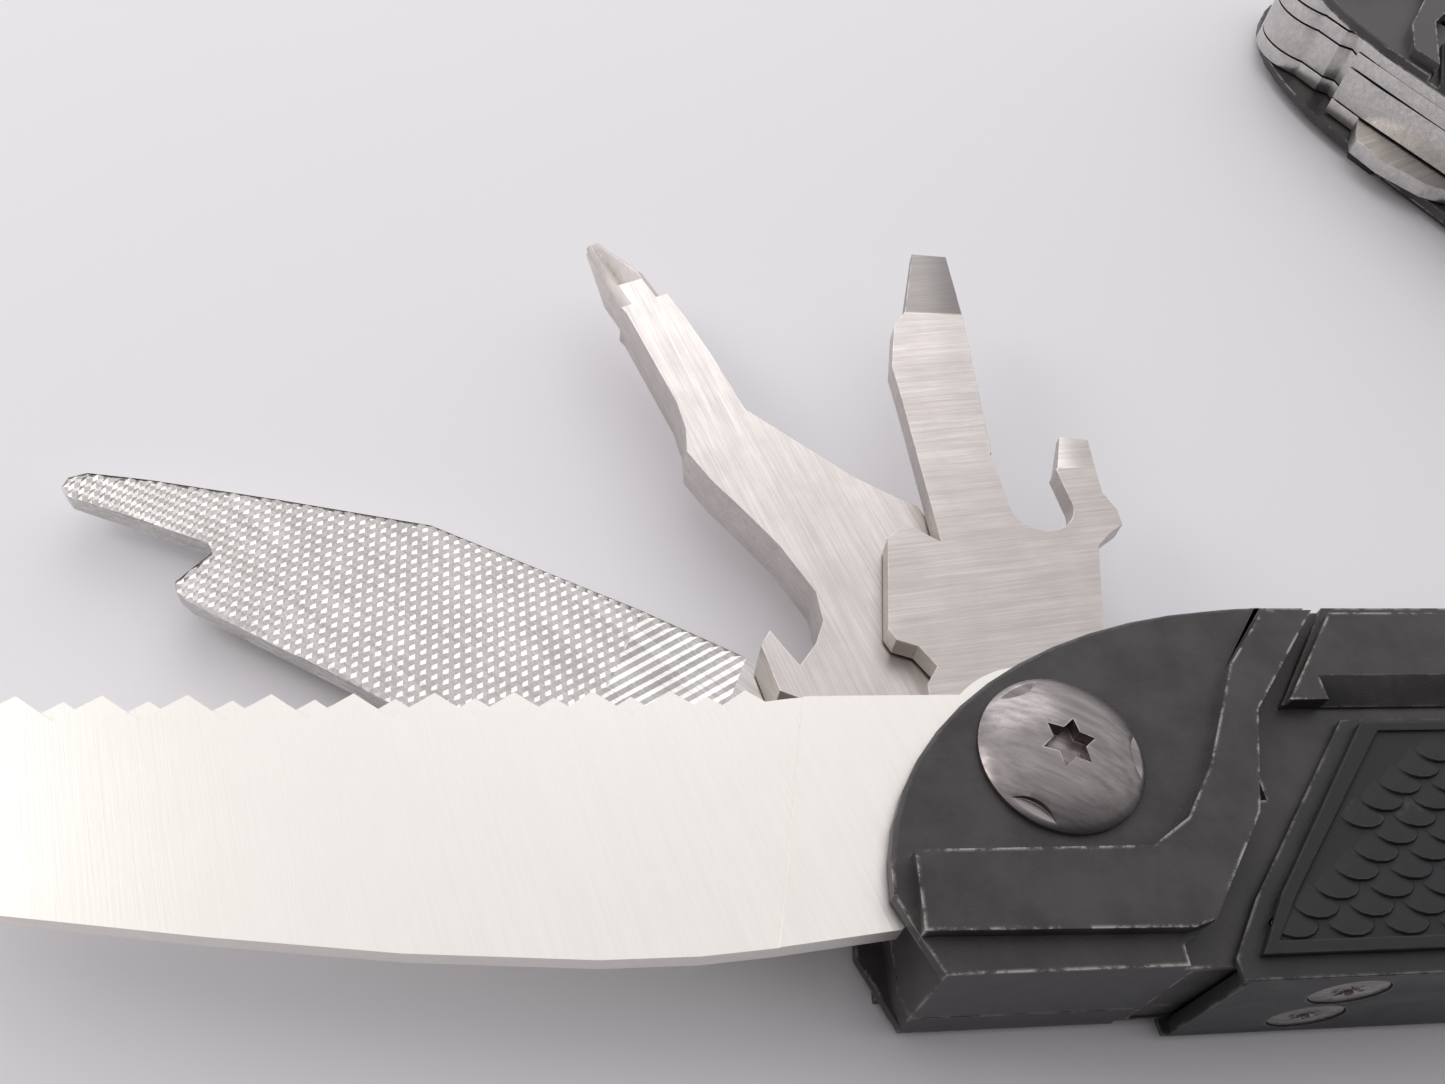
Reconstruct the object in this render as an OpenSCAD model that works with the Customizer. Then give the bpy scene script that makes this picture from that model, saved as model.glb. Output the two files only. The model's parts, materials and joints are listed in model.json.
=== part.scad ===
// Folding plier multi tool with two handles of outward-opening implements.
// Millimetres. +Z is up. The tool lies on its broad side on the plane Z = 0.
// The origin is the foot of handle A's implement pivot; +X runs along handle A towards the pliers.

/* [Handle] */
// Thickness of a handle, across its two shells
handle_thick = 13.5; // [13:0.1:14.5]
// Distance from the implement pivot to the plier hinge
pivot_span = 87; // [86:0.5:92]
// Distance from the pivot axis to the open, implement side of the shell
open_edge = 10.4; // [10.2:0.1:11]
// Distance from the pivot axis to the outside of the spine
spine_edge = 12.3; // [12.1:0.1:12.6]
// Thickness of a shell's plate under the bolster panel
plate_thick = 2.0; // [1.8:0.1:2.1]

/* [Implements] */
// Thickness of the thin implements
blade_thick = 1.6; // [1.4:0.1:1.6]
// Thickness of the thick centre implement
thick_blade = 3.7; // [3.4:0.1:3.7]
// Angle at which the saw stands open
saw_open = 180; // [150:1:180]
// Angle at which the flat driver stands open
flat_open = 90; // [60:1:100]
// Angle at which the cross driver stands open
cross_open = 116; // [110:1:125]
// Angle at which the file stands open
file_open = 157; // [140:1:165]

/* [Pliers] */
// Length of the jaws from the plier pivot
jaw_reach = 41; // [36:0.5:41]
// Thickness of the jaws
jaw_thick = 8.1; // [7.5:0.1:8.3]
// Angle that handle A is folded back from the plier position
fold_a = 30; // [20:1:40]
// Angle that handle B is folded back from the plier position
fold_b = 34; // [24:1:44]

/* [Fits] */
// Radius of the implement pivot barrel and of the hinge pins
pin_r = 2.5; // [2.3:0.1:2.5]
// Radial running clearance of a moving bore on its pin
run = 0.06; // [0.03:0.01:0.1]

/* [Hidden] */
$fn = 48;
eps = 0.02;
mid_z = handle_thick / 2;

// stack of implements between the plates, from the lower plate up
gap = 0.2;
z_low = plate_thick;
z_top = handle_thick - plate_thick;
z_file = z_low + gap;
z_cross = z_file + blade_thick + gap;
z_flat = z_cross + thick_blade + gap;
z_saw = z_flat + blade_thick + gap;

// outside levels of the upper shell
pad_z = handle_thick;
rail_z = handle_thick - 0.3;
panel_z = handle_thick - 1.0;
pocket_z = handle_thick - 1.6;
leg_z = pocket_z + 0.1;
rubber_z = leg_z + 0.4;
rubber_h = 0.6;
parting_z = 4.3;

// plan positions on a handle
hinge_y = -0.75;
hinge_end_r = 8.2;
wall_t = 1.3;
spine_in = spine_edge - wall_t;
nose_x = -9.6;
wall_end = 30;
slider_end = 60;
slider_proud = 0.9;
slider_travel = 2.0;
rock_at = [2, -9.6];
rock_pin_r = 0.8;
rock_pin_top = handle_thick - 0.9;
block_x = 12.6;
block_len = 4.4;
slot_room = 0.4;
screw_x = 14.8;
screw_levels = [4.3, 9.2];
screw_r = 0.9;
tang_r = 6.8;
head_r = 5.0;

// plier head, in a frame at the plier pivot with the jaws along +X
tang_x = 14;
tang_y = 12.75;
lap_r = 9.5;
jaw_low = mid_z - jaw_thick / 2;
jaw_gap = 0.15;

// ---- placing -------------------------------------------------------------

function turn(v, a) = [v.x * cos(a) - v.y * sin(a), v.x * sin(a) + v.y * cos(a)];
hinge_a = [pivot_span, hinge_y];
plier_pivot = hinge_a + turn([tang_x, tang_y], -fold_a);
hinge_b = plier_pivot + turn([-tang_x, tang_y], -fold_a);
turn_b = -fold_a - fold_b;
pivot_b = hinge_b - turn([pivot_span, -hinge_y], turn_b);

module at_a() children();
module at_b() translate([pivot_b.x, pivot_b.y, 0]) rotate(turn_b) mirror([0, 1, 0]) children();
module at_head() translate([plier_pivot.x, plier_pivot.y, 0]) rotate(-fold_a) children();
module flip() translate([0, 0, handle_thick]) mirror([0, 0, 1]) children();
module slab(z0, z1) translate([0, 0, z0]) linear_extrude(z1 - z0) children();
module bore_at(p, r) translate([p.x, p.y, -1]) cylinder(r = r, h = handle_thick + 2);

// ---- plan shapes of a shell ----------------------------------------------

// the bolster's front is a quarter of an ellipse
nose_cx = 16;
nose_cy = -8;
nose_a = 27.3;
function nose_arc(shrink, from, to, n) = [
  for (i = [0:n]) let (t = from + (to - from) * i / n)
    [nose_cx - (nose_a - shrink) * cos(t), nose_cy + (open_edge - nose_cy - shrink) * sin(t)]
];

module shell_plan() {
  polygon(concat(
    [[-9.2, -spine_edge], [-11.3, -8]],
    nose_arc(0, 0, 90, 14),
    [[76, open_edge], [pivot_span, hinge_end_r + hinge_y], [pivot_span, hinge_y - hinge_end_r],
     [76, -spine_edge]]
  ));
  translate(hinge_a) circle(r = hinge_end_r);
}

// raised pad under the screw panel, and the rib that sweeps up from it
module pad_plan() {
  polygon([
    [-10.2, -10.3], [4.6, -10.6], [5.9, -10.2], [10.6, -4.2], [12.9, 2.4], [19.2, 9.6],
    [15.8, 9.6], [12.2, 5.6], [8.6, -1.2], [6.2, -4.4], [3.6, -6.0], [-10.0, -5.9]
  ]);
}

// raised rail along the open side, and the block at the plier hinge
module rail_plan() {
  polygon([[20.6, 9.6], [15.4, 3.2], [64, 3.2], [64, -11.4], [76, -11.4], [87, -8], [94.2, -1],
           [87, 6.5], [76, 9.6]]);
}

// sunk way in which the slider runs
module pocket_plan() {
  polygon([[4.2, -14], [4.2, -11.2], [5.9, -10.2], [10.6, -4.2], [12.9, 2.4], [14.4, 3.2],
           [64, 3.2], [64, -14]]);
}

// dark groove between the rib and the rail
module groove_plan() {
  polygon([[13.6, 2.9], [19.6, 10.6], [20.9, 10.6], [15.0, 2.9]]);
}

// ---- handle pieces, in the handle's own frame -----------------------------

module outer_half() {
  difference() {
    union() {
      slab(z_top, pocket_z) shell_plan();
      slab(z_top, panel_z) difference() {
        shell_plan();
        pocket_plan();
        groove_plan();
      }
      slab(pocket_z - eps, pad_z) pad_plan();
      slab(pocket_z - eps, rail_z) rail_plan();
    }
    // small square window in the floor of the slider's way
    slab(z_top - 1, pocket_z + 1) translate([11.3, -2.8]) square([1.0, 1.4]);
    bore_at([0, 0], pin_r + 0.02);
    bore_at(hinge_a, pin_r + 0.02);
    // blind hole for the lock bar's pin
    translate([rock_at.x, rock_at.y, z_top - 1])
      cylinder(r = rock_pin_r + 0.02, h = rock_pin_top - z_top + 1);
  }
}

// spine wall under the bolster, with the nose block that the open implements stop against
module spine_wall(z0, z1) {
  slab(z0, z1) difference() {
    polygon([[-9.2, -spine_edge], [nose_x, -10.9], [nose_x, -7.3], [nose_x + 0.8, -7.3],
             [nose_x + 0.8, -spine_in], [wall_end, -spine_in], [wall_end, -spine_edge + 0.15],
             [4.8, -spine_edge + 0.15], [4.8, -spine_edge]]);
    // slot in which the slider's release block travels
    translate([block_x - slider_travel - slot_room, -spine_edge - 1])
      square([block_len + slider_travel + 2 * slot_room, wall_t + 2]);
  }
}

module upper_shell() {
  color([0.10, 0.10, 0.11]) {
    outer_half();
    spine_wall(parting_z, z_top + eps);
  }
}

module lower_shell() {
  color([0.10, 0.10, 0.11]) {
    flip() outer_half();
    spine_wall(z_low - eps, parting_z - 0.12);
  }
}

module pivot_screw() {
  dome_h = 1.5;
  rim_h = 0.35;
  dome_r = (head_r * head_r + dome_h * dome_h) / (2 * dome_h);
  color([0.42, 0.40, 0.39]) difference() {
    union() {
      translate([0, 0, panel_z]) cylinder(r = head_r, h = rim_h);
      intersection() {
        translate([0, 0, panel_z + rim_h + dome_h - dome_r]) sphere(r = dome_r);
        translate([0, 0, panel_z + rim_h - eps]) cylinder(r = head_r, h = dome_h + 1);
      }
      translate([0, 0, mid_z]) cylinder(r = 1.45, h = panel_z - mid_z + eps);
    }
    // three spanner bites in the rim
    for (a = [-6, 114, 234]) rotate(a) translate([head_r + 1.15, 0, panel_z + 0.55])
      cylinder(r = 2.15, h = 3);
    // six-point star socket
    translate([0, 0, panel_z + 0.7]) for (a = [0, 60]) rotate(a + 8)
      cylinder(r = 1.62, h = 3, $fn = 3);
  }
}

module pivot_nut() {
  color([0.45, 0.44, 0.43]) difference() {
    union() {
      cylinder(r = head_r, h = handle_thick - panel_z - 0.02);
      cylinder(r = pin_r, h = panel_z - 0.1);
    }
    translate([0, 0, mid_z - 1]) cylinder(r = 1.5, h = handle_thick);
  }
}

module pivot_washers() {
  color([0.66, 0.55, 0.34])
    for (z = [z_low, z_file + blade_thick, z_cross + thick_blade, z_flat + blade_thick,
              z_saw + blade_thick])
      translate([0, 0, z + 0.03]) difference() {
        cylinder(r = 5, h = gap - 0.06);
        translate([0, 0, -1]) cylinder(r = pin_r + run, h = 2);
      }
}

module lock_bar() {
  color([0.55, 0.54, 0.53]) difference() {
    slab(z_low + 0.2, z_top - 0.2)
      polygon([[-8.5, -7.1], [-3, -7.3], [2, -7.8], [8.6, -8.9], [11.6, -9.3], [11.6, -9.9],
               [8.6, -10.2], [2, -10.75], [-3, -10.6], [-8.5, -10.3]]);
    bore_at(rock_at, rock_pin_r + run);
  }
}

module lock_pin() {
  color([0.6, 0.6, 0.6]) translate([rock_at.x, rock_at.y, handle_thick - rock_pin_top])
    cylinder(r = rock_pin_r, h = 2 * rock_pin_top - handle_thick);
}

// leaf spring that lies along the inside of the spine and presses the bar's tail
module lock_spring() {
  color([0.5, 0.5, 0.52]) slab(z_low + 1, z_flat - 0.5)
    polygon([[17.8, -spine_in + 0.02], [29.5, -spine_in + 0.02], [29.5, -spine_in + 0.5],
             [18.6, -spine_in + 0.5], [18.0, -9.4], [17.6, -9.5]]);
}

// carriage that wraps the spine and carries the rubber
module slider_leg_plan() {
  polygon([[18.8, 2.2], [9.2, -8.8], [6.9, -12.0], [7.0, -spine_edge - slider_proud],
           [30, -spine_edge - slider_proud], [31.5, -spine_edge + 0.2],
           [slider_end, -spine_edge + 0.2], [slider_end, 2.2]]);
}

module slider() {
  spine_out = -spine_edge - slider_proud;
  color([0.09, 0.09, 0.10]) difference() {
    union() {
      slab(leg_z, rubber_z) slider_leg_plan();
      flip() slab(leg_z, rubber_z) slider_leg_plan();
      slab(handle_thick - rubber_z, rubber_z)
        translate([7.4, spine_out]) square([22.1, slider_proud - 0.05]);
    }
    for (z = screw_levels) translate([screw_x, 0, z]) rotate([90, 0, 0]) {
      cylinder(r = screw_r + 0.05, h = 20);
      translate([0, 0, -spine_out - 0.5]) cylinder(r = 2.25, h = 3);
    }
  }
}

module grip_plan() {
  polygon([[19.6, 1.7], [10.4, -8.8], [8.2, -12.0], [slider_end - 0.6, -12.0],
           [slider_end - 0.6, 1.7]]);
}

module grip() {
  color([0.13, 0.13, 0.14]) slab(rubber_z, rubber_z + rubber_h) grip_plan();
}

module slider_screws() {
  spine_out = -spine_edge - slider_proud;
  color([0.55, 0.55, 0.55]) for (z = screw_levels)
    translate([screw_x, spine_out + 0.08, z]) rotate([-90, 0, 0]) difference() {
      union() {
        cylinder(r = 2.2, h = 0.38);
        cylinder(r = screw_r, h = 2.6);
      }
      for (a = [0, 60, 120]) rotate(a) translate([-1.0, -0.22, -1]) cube([2.0, 0.44, 1.25]);
    }
}

// block inside the spine that the slider moves against the lock bar
module release_block() {
  color([0.5, 0.49, 0.48]) difference() {
    slab(z_low + 0.3, z_top - 0.3)
      polygon([[block_x, -spine_edge], [block_x + block_len, -spine_edge],
               [block_x + block_len, -9.6], [block_x + 1.6, -9.6], [block_x, -10.4]]);
    for (z = screw_levels) translate([screw_x, -spine_edge - 2, z]) rotate([-90, 0, 0])
      cylinder(r = screw_r + 0.02, h = 3.9);
  }
}

module hinge_pin() {
  color([0.45, 0.44, 0.43]) translate([hinge_a.x, hinge_a.y, 0]) {
    cylinder(r = pin_r, h = handle_thick);
    for (z = [0, rail_z]) translate([0, 0, z]) cylinder(r = 3.4, h = handle_thick - rail_z);
  }
}

// ---- implements, each along +X from its pivot, cutting edge towards the spine -------

module tang(plan_z, thick) {
  difference() {
    slab(plan_z, plan_z + thick) {
      circle(r = tang_r);
      children();
    }
    bore_at([0, 0], pin_r + run);
  }
}

// round corner shoulders shared by the implements: the step that meets the nose block when open
shoulder = [[9.9, 8.6], [9.9, 6.4], [7.4, 5.4], [6.2, 6.2], [3.0, 6.2]];

saw_pitch = 2.3;
saw_teeth = 22;
saw_from = 16.4;
saw_valley_y = -4.5;
saw_crest_y = -5.3;
module saw_plan() {
  teeth = [for (i = [0:saw_teeth - 1], k = [0:1])
    [saw_from + (i + k / 2 + 0.25) * saw_pitch, k == 0 ? saw_valley_y : saw_crest_y]];
  polygon(concat(
    [[2, -4.8], [14.2, -4.8], [15.4, -4.7]], teeth,
    [[67.6, -4.6], [70.4, -3.4], [72.0, -1.2], [72.3, 1.0], [70.5, 3.2], [64, 5.6], [57, 7.2],
     [47, 8.6], [37, 9.8], [27, 10.5], [21.7, 10.5], [17.5, 10.2], [10.8, 9.5]],
    shoulder
  ));
}
module saw() color([0.62, 0.60, 0.58]) rotate(saw_open) tang(z_saw, blade_thick) saw_plan();

module flat_plan() {
  difference() {
    polygon(concat(
      [[3, -5.4], [10.6, -6.8], [17.7, -8.4], [18.7, -9.4], [19.6, -10.7], [21.0, -10.7],
       [22.6, -10.0], [24.9, -10.1], [28.1, -10.5], [28.4, -8.3], [24.8, -7.1], [24.8, -4],
       [25.9, -2.3], [40.8, -3.0], [49.1, -3.2], [49.3, -0.2], [41.5, 1.8], [39.7, 3.0], [35.1, 3.9],
       [31.9, 3.7], [17.9, 3.1], [19.6, 5.4], [18.2, 6.9], [10.8, 8.0]],
      [[9.9, 7.6], [9.4, 6.2], [7.9, 5.2], [6.6, 6.1], [3.0, 6.2]]
    ));
    translate([21.4, -5.0]) circle(r = 2.4);
    polygon([[21.4, -2.6], [26.2, -2.2], [26.2, -6.8], [21.8, -7.35]]);
  }
}

// driver tips are ground to wedges from both faces
module wedge_cut(x0, x1, y0, y1, end_t) {
  for (s = [0, 1]) translate([0, 0, z_flat + blade_thick / 2]) mirror([0, 0, s])
    translate([0, y1, 0]) rotate([90, 0, 0]) linear_extrude(y1 - y0)
      polygon([[x0, blade_thick / 2], [x1, end_t / 2], [x1, blade_thick], [x0, blade_thick]]);
}
module flat_driver() {
  color([0.60, 0.58, 0.57]) rotate(flat_open) difference() {
    tang(z_flat, blade_thick) flat_plan();
    wedge_cut(41.3, 50, -5, 5, 0.7);
    wedge_cut(24.9, 28.8, -12, -6.6, 0.6);
  }
}

// thick driver with a bottle and can hook at its root and a cross point
cross_y = 1.5;
module cross_plan() {
  polygon(concat(
    [[3, -5.4], [9, -6.2], [16, -6.9], [21.8, -6.6], [26.2, -3.9], [32.4, -1.3], [35.5, 0.0],
     [41.3, -0.5], [46, -0.7], [49.5, -0.7], [49.5, 3.6], [48.7, 3.5], [42.4, 4.1], [38.3, 4.5],
     [35.6, 5.2], [33.6, 6.2], [30.3, 5.9], [26.5, 5.1], [23.2, 4.5], [18.7, 4.3], [16.5, 5.1],
     [15.2, 6.5], [14.2, 8.4], [17.4, 8.8], [16.7, 9.9], [13.2, 10.6], [11.4, 9.1]],
    shoulder
  ));
}
module cross_driver() {
  shank_r = 2.15;
  color([0.60, 0.58, 0.56]) rotate(cross_open) difference() {
    union() {
      tang(z_cross, thick_blade) cross_plan();
      intersection() {
        translate([0, cross_y, z_cross + thick_blade / 2]) rotate([0, 90, 0]) rotate_extrude()
          polygon([[0, 47], [shank_r, 47], [shank_r, 53], [0.75, 58.8], [0, 59.2]]);
        translate([40, -5, z_cross]) cube([20, 14, thick_blade]);
      }
    }
    // four flutes
    translate([0, cross_y, z_cross + thick_blade / 2]) for (a = [45, 135, 225, 315])
      rotate([a, 0, 0]) translate([52, 0.42, 0.42])
        multmatrix([[1, 0, 0, 0], [-0.02, 1, 0, 0], [-0.02, 0, 1, 0]]) cube([10, 4, 4]);
  }
}

module file_plan() {
  polygon(concat(
    [[3, -4.0], [18.1, -4.0], [20.1, -4.6], [28.2, -5.4], [44.9, -6.3], [55.7, -4.1], [65.1, -2.0],
     [69.4, -0.8], [70.3, 0.1], [70.1, 1.1], [69.3, 1.5], [58.2, 1.2], [57.5, 1.8], [58.3, 4.9],
     [57.8, 5.5], [56.7, 5.9], [39.6, 7.8], [14, 8.3]],
    shoulder
  ));
}
module file() color([0.66, 0.65, 0.64]) rotate(file_open) tang(z_file, blade_thick) file_plan();

// handle B's own implements, folded away
module knife_plan() {
  polygon(concat(
    [[2, -4.6], [13.5, -4.6], [14.6, -3.9], [15.8, -4.9], [52, -5.0], [60, -3.9], [66, -1.2],
     [70, 3.2], [62, 6.6], [52, 8.4], [40, 8.8], [14, 8.9]],
    shoulder
  ));
}
module knife_blade() color([0.64, 0.63, 0.62]) tang(z_saw, blade_thick) knife_plan();

notch_pitch = 3.2;
module serrated_plan() {
  difference() {
    polygon(concat(
      [[2, -4.6], [14, -4.6], [15.6, -5.0], [58, -5.0], [66.5, -3.6], [67.5, 0], [66, 5.5],
       [60, 8.2], [14, 8.6]],
      shoulder
    ));
    for (i = [0:12]) translate([18.5 + notch_pitch * i, -5.9]) circle(r = 1.7);
  }
}
module serrated_blade() color([0.62, 0.61, 0.6]) tang(z_flat, blade_thick) serrated_plan();

module chisel_plan() {
  polygon(concat(
    [[2, -5.2], [12, -5.6], [30, -5.0], [44, -3.4], [56, -3.2], [56, 3.6], [44, 4.4], [34, 7.6],
     [14, 8.7]],
    shoulder
  ));
}
module chisel() {
  color([0.6, 0.59, 0.58]) difference() {
    tang(z_cross, thick_blade) chisel_plan();
    translate([0, 10, z_cross]) rotate([90, 0, 0]) linear_extrude(20)
      polygon([[46, thick_blade + eps], [60, thick_blade + eps], [60, 0.4], [56, 0.4]]);
  }
}

module awl_plan() {
  polygon(concat(
    [[2, -5.0], [14, -5.2], [32, -3.6], [46, -1.4], [62, 2.6], [46, 5.4], [30, 8.0], [26, 11.3],
     [21, 12.6], [17, 12.4], [15.8, 11.2], [14, 8.6]],
    shoulder
  ));
}
module awl() color([0.6, 0.59, 0.58]) tang(z_file, blade_thick) awl_plan();

// ---- plier head, in its own frame ------------------------------------------

// one jaw's nose half above the line y = 0, and its tang below it
module nose_plan() {
  difference() {
    polygon([[8.0, jaw_gap], [jaw_reach, jaw_gap], [jaw_reach, 1.7], [jaw_reach - 1.0, 2.4],
             [jaw_reach - 14, 4.4], [jaw_reach - 22, 6.6], [15, 8.4], [9.5, 7.4], [7.0, 6.0]]);
    // hollow for gripping round stock, and the wire cutter's relief
    translate([20.5, -2.8]) circle(r = 6.2);
    polygon([[9.6, -1], [9.6, 0.9], [13.0, jaw_gap - 0.01], [13.0, -1]]);
  }
}

module tang_bar_plan() {
  difference() {
    polygon([[-3.0, -9.0], [-9.5, -1.0], [-17.6, -8.2], [-18.6, -16.3], [-10.0, -17.0],
             [-8.4, -13.6]]);
    translate([-tang_x, -tang_y]) circle(r = 5.6);
  }
  translate([-tang_x, -tang_y]) circle(r = 5.8);
}

// serrations on the gripping flat, cut across the nose
module serrations() {
  for (x = [27.4 : 1.1 : jaw_reach - 0.8]) translate([x, jaw_gap, -1]) rotate(45)
    translate([-0.3, -0.3, 0]) cube([0.6, 0.6, handle_thick + 2]);
}

module jaw_solid(disc_low) {
  half = jaw_thick / 2 - 0.1;
  difference() {
    union() {
      slab(jaw_low, jaw_low + jaw_thick) difference() {
        union() {
          nose_plan();
          tang_bar_plan();
        }
        circle(r = lap_r + 0.3);
      }
      slab(disc_low, disc_low + half) {
        circle(r = lap_r);
        intersection() {
          circle(r = lap_r + 0.6);
          union() {
            nose_plan();
            tang_bar_plan();
          }
        }
      }
    }
    serrations();
    translate([0, 0, -1]) cylinder(r = 3.0 + run, h = handle_thick + 2);
    translate([-tang_x, -tang_y, -1]) cylinder(r = pin_r + run, h = handle_thick + 2);
  }
}

module jaw_a() color([0.40, 0.39, 0.38]) jaw_solid(jaw_low);
module jaw_b() color([0.40, 0.39, 0.38]) mirror([0, 1, 0]) jaw_solid(mid_z + 0.1);

module jaw_bolt() {
  color([0.45, 0.45, 0.45]) difference() {
    translate([0, 0, jaw_low + 2.3]) cylinder(r = 3.0, h = jaw_thick - 2.2);
    translate([0, 0, jaw_low + jaw_thick - 0.7]) for (a = [0, 60]) rotate(a)
      cylinder(r = 1.7, h = 2, $fn = 3);
    translate([0, 0, jaw_low]) cylinder(r = 1.6, h = 4);
  }
}
module jaw_nut() {
  color([0.45, 0.45, 0.45]) {
    translate([0, 0, jaw_low - 0.1]) cylinder(r = 3.0, h = 2.3);
    translate([0, 0, jaw_low + 2]) cylinder(r = 1.55, h = 1.8);
  }
}

// ---- nodes -----------------------------------------------------------------

at_a() upper_shell();  // a_upper_shell
at_a() lower_shell();  // a_lower_shell
at_a() pivot_screw();  // a_pivot_screw
at_a() pivot_nut();  // a_pivot_nut
at_a() pivot_washers();  // a_pivot_washers
at_a() lock_bar();  // a_lock_bar
at_a() lock_pin();  // a_lock_pin
at_a() lock_spring();  // a_lock_spring
at_a() slider();  // a_slider
at_a() grip();  // a_grip_upper
at_a() flip() grip();  // a_grip_lower
at_a() slider_screws();  // a_slider_screws
at_a() release_block();  // a_release_block
at_a() hinge_pin();  // a_hinge_pin
at_a() saw();
at_a() flat_driver();
at_a() cross_driver();
at_a() file();
at_head() jaw_a();
at_head() jaw_b();
at_head() jaw_bolt();
at_head() jaw_nut();
at_b() upper_shell();  // b_upper_shell
at_b() lower_shell();  // b_lower_shell
at_b() pivot_screw();  // b_pivot_screw
at_b() pivot_nut();  // b_pivot_nut
at_b() pivot_washers();  // b_pivot_washers
at_b() lock_bar();  // b_lock_bar
at_b() lock_pin();  // b_lock_pin
at_b() lock_spring();  // b_lock_spring
at_b() slider();  // b_slider
at_b() grip();  // b_grip_upper
at_b() flip() grip();  // b_grip_lower
at_b() slider_screws();  // b_slider_screws
at_b() release_block();  // b_release_block
at_b() hinge_pin();  // b_hinge_pin
at_b() knife_blade();
at_b() serrated_blade();
at_b() chisel();
at_b() awl();
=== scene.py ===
# %% [markdown]
# # A folding plier multi tool
# The tool lies on its broad side. A saw, a file and two drivers fan out of one handle, and the other
# handle holds folded blades. The solids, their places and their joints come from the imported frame.
# This lesson gives each solid real rounded edges, cuts the fine relief, and builds the finishes.

# %% Load the frame
import json
import math

import bmesh
import bpy
from mathutils import Matrix, Vector


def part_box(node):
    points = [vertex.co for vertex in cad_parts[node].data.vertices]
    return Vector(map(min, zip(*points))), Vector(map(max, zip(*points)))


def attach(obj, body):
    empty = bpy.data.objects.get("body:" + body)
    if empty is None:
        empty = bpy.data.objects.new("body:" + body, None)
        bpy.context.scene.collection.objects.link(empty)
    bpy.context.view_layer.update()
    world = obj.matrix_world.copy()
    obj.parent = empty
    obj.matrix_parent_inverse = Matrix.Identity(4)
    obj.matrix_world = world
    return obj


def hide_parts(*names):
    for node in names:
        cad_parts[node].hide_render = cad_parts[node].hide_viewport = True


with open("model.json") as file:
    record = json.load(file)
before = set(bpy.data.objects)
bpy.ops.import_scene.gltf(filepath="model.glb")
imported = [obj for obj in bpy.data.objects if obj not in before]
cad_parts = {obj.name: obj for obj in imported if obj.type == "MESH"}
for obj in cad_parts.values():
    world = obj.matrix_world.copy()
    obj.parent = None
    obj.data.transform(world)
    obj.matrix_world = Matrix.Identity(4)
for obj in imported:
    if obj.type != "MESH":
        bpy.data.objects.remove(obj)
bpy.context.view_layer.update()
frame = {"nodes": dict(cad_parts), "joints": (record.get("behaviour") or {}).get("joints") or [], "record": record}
MM = 0.001
nodes = frame["nodes"]
record = frame["record"]
body_of = {n: b for b, members in record["behaviour"]["bodies"].items() for n in members}
slot_of = {s["node"]: s["material_slot"] for s in record["subparts"]}

# %% [markdown]
# ## The camera
# A short lens close above the pivot screw makes the fan of implements spread wide. The camera is aimed at
# a point on the table and then rolled a little, as a hand would hold it.

# %% Camera
CAMERA_PLACE = Vector((-28.21, -29.18, 72.27)) * MM
CAMERA_AIM = Vector((-17.02, 24.86, 0.0)) * MM
CAMERA_ROLL = math.radians(9.78)
LENS_MM = 28.9

back = (CAMERA_PLACE - CAMERA_AIM).normalized()
level = Vector((0, 0, 1)).cross(back).normalized()
upright = back.cross(level)
right = level * math.cos(CAMERA_ROLL) + upright * math.sin(CAMERA_ROLL)
above = back.cross(right)
camera_data = bpy.data.cameras.new("camera")
camera_data.lens = LENS_MM
camera_data.clip_start = 0.001
camera = bpy.data.objects.new("camera", camera_data)
camera.matrix_world = Matrix.Translation(CAMERA_PLACE) @ Matrix((right, above, back)).transposed().to_4x4()
bpy.context.scene.collection.objects.link(camera)
bpy.context.scene.camera = camera
print("camera height", round(CAMERA_PLACE.z / MM, 1), "mm")

# %% [markdown]
# ## Floor and light
# Steel shows what stands around it, so the light matters as much as the metal. The sky itself does most of
# the work: bright overhead and at the far side, dim towards the near side. Two soft panels add a pale
# reflection from behind and a warm one from the left. The far panel stands low and well back, because a
# panel in the saw's mirror direction would turn the whole blade white.

# %% Floor and light
def new_material(name):
    """An empty node material and its Principled shader."""
    material = bpy.data.materials.new(name)
    material.use_nodes = True
    shader = material.node_tree.nodes["Principled BSDF"]
    return material, shader


def soft_panel(name, place, aim, size, watts, colour=(1, 1, 1)):
    """A square area light that faces a point."""
    light = bpy.data.lights.new(name, "AREA")
    light.size = size
    light.energy = watts
    light.color = colour
    panel = bpy.data.objects.new(name, light)
    panel.location = place
    panel.visible_camera = False
    panel.rotation_euler = (Vector(aim) - Vector(place)).to_track_quat("-Z", "Y").to_euler()
    bpy.context.scene.collection.objects.link(panel)
    return panel


FLOOR_HALF = 1.5
floor_mesh = bpy.data.meshes.new("floor")
corners = [(-FLOOR_HALF, -FLOOR_HALF, 0), (FLOOR_HALF, -FLOOR_HALF, 0),
           (FLOOR_HALF, FLOOR_HALF, 0), (-FLOOR_HALF, FLOOR_HALF, 0)]
floor_mesh.from_pydata(corners, [], [(0, 1, 2, 3)])
floor = bpy.data.objects.new("floor", floor_mesh)
bpy.context.scene.collection.objects.link(floor)
floor_paint, floor_shader = new_material("floor_card")
floor_shader.inputs["Base Color"].default_value = (0.88, 0.87, 0.90, 1)
floor_shader.inputs["Roughness"].default_value = 0.7
floor_mesh.materials.append(floor_paint)

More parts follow.
